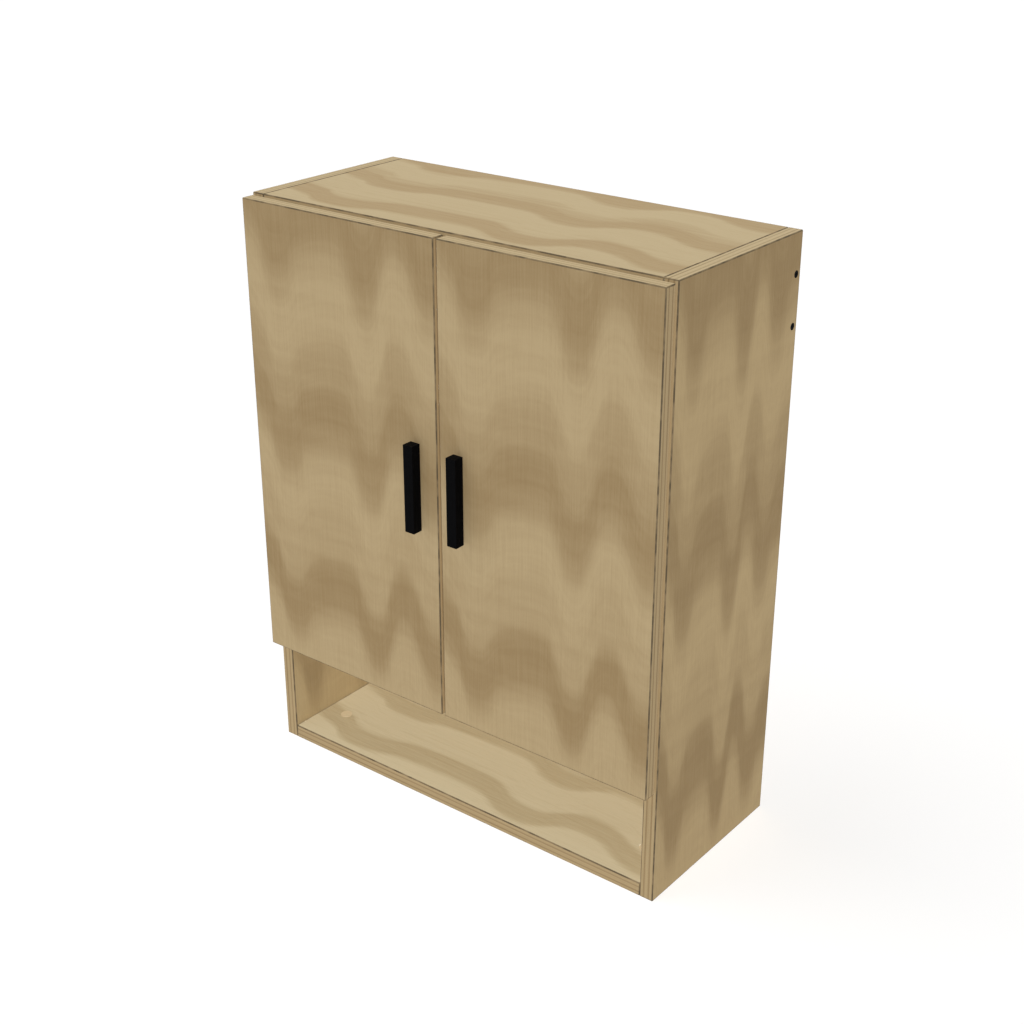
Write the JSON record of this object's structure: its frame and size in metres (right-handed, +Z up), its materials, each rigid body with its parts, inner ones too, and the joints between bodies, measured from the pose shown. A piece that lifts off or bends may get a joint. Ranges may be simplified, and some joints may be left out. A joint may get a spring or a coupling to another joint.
{
  "type": "laundry cabinet",
  "caption": "Wall-hung wooden laundry cabinet: paired overlay doors on concealed hinges above an open cubby, with an adjustable shelf inside and a hanging rail at the back.",
  "frame": {"origin": "middle of the whole cabinet's footprint, handles included, at the underside", "axes": "+X to the right seen from the front, +Y to the back (the wall), +Z up"},
  "size_m": [0.6, 0.2846, 0.75],
  "materials": {
    "side_board": "satin clear-coated plywood",
    "cross_board": "satin clear-coated plywood",
    "door_board": "satin clear-coated plywood",
    "back_sheet": "thin plywood sheet",
    "black_metal": "satin black",
    "cap_plastic": "matte beige",
    "dowel_wood": "plain beech",
    "die_cast": "nickel-plated die casting",
    "plated_steel": "nickel-plated steel",
    "spring_steel": "blued spring steel",
    "bumper_rubber": "clear soft pad"
  },
  "bodies": {
    "carcass": {"adjustable_shelf": "cross_board", "back_panel": "back_sheet", "bottom_panel": "cross_board", "cam_bolts": "plated_steel", "cam_caps": "cap_plastic", "cam_locks": "die_cast", "divider_shelf": "cross_board", "dowels": "dowel_wood", "hanging_rail": "cross_board", "left_hinge_arm_screws": "plated_steel", "left_hinge_plate_screws": "plated_steel", "left_lower_hinge_arm": "plated_steel", "left_lower_hinge_plate": "plated_steel", "left_side": "side_board", "left_upper_hinge_arm": "plated_steel", "left_upper_hinge_plate": "plated_steel", "rail_screws": "black_metal", "right_hinge_arm_screws": "plated_steel", "right_hinge_plate_screws": "plated_steel", "right_lower_hinge_arm": "plated_steel", "right_lower_hinge_plate": "plated_steel", "right_side": "side_board", "right_upper_hinge_arm": "plated_steel", "right_upper_hinge_plate": "plated_steel", "shelf_pins": "plated_steel", "top_panel": "cross_board"},
    "left_door": {"left_door": "door_board", "left_door_bumpers": "bumper_rubber", "left_handle": "black_metal", "left_handle_screws": "plated_steel", "left_hinge_cup_screws": "plated_steel", "left_upper_hinge_cup": "die_cast", "left_upper_hinge_pin": "plated_steel", "left_upper_hinge_spring": "spring_steel", "left_lower_hinge_cup": "die_cast", "left_lower_hinge_pin": "plated_steel", "left_lower_hinge_spring": "spring_steel"},
    "right_door": {"right_door": "door_board", "right_door_bumpers": "bumper_rubber", "right_handle": "black_metal", "right_handle_screws": "plated_steel", "right_hinge_cup_screws": "plated_steel", "right_upper_hinge_cup": "die_cast", "right_upper_hinge_pin": "plated_steel", "right_upper_hinge_spring": "spring_steel", "right_lower_hinge_cup": "die_cast", "right_lower_hinge_pin": "plated_steel", "right_lower_hinge_spring": "spring_steel"}
  },
  "joints": [
    {"name": "right_door_hinge", "type": "hinge", "parent": "carcass", "child": "right_door", "pos_m": [0.2911, -0.1168, 0.4485], "axis": [0, 0, 1], "range_deg": [0, 100]},
    {"name": "left_door_hinge", "type": "hinge", "parent": "carcass", "child": "left_door", "pos_m": [-0.2911, -0.1168, 0.4485], "axis": [0, 0, -1], "range_deg": [0, 100]}
  ]
}
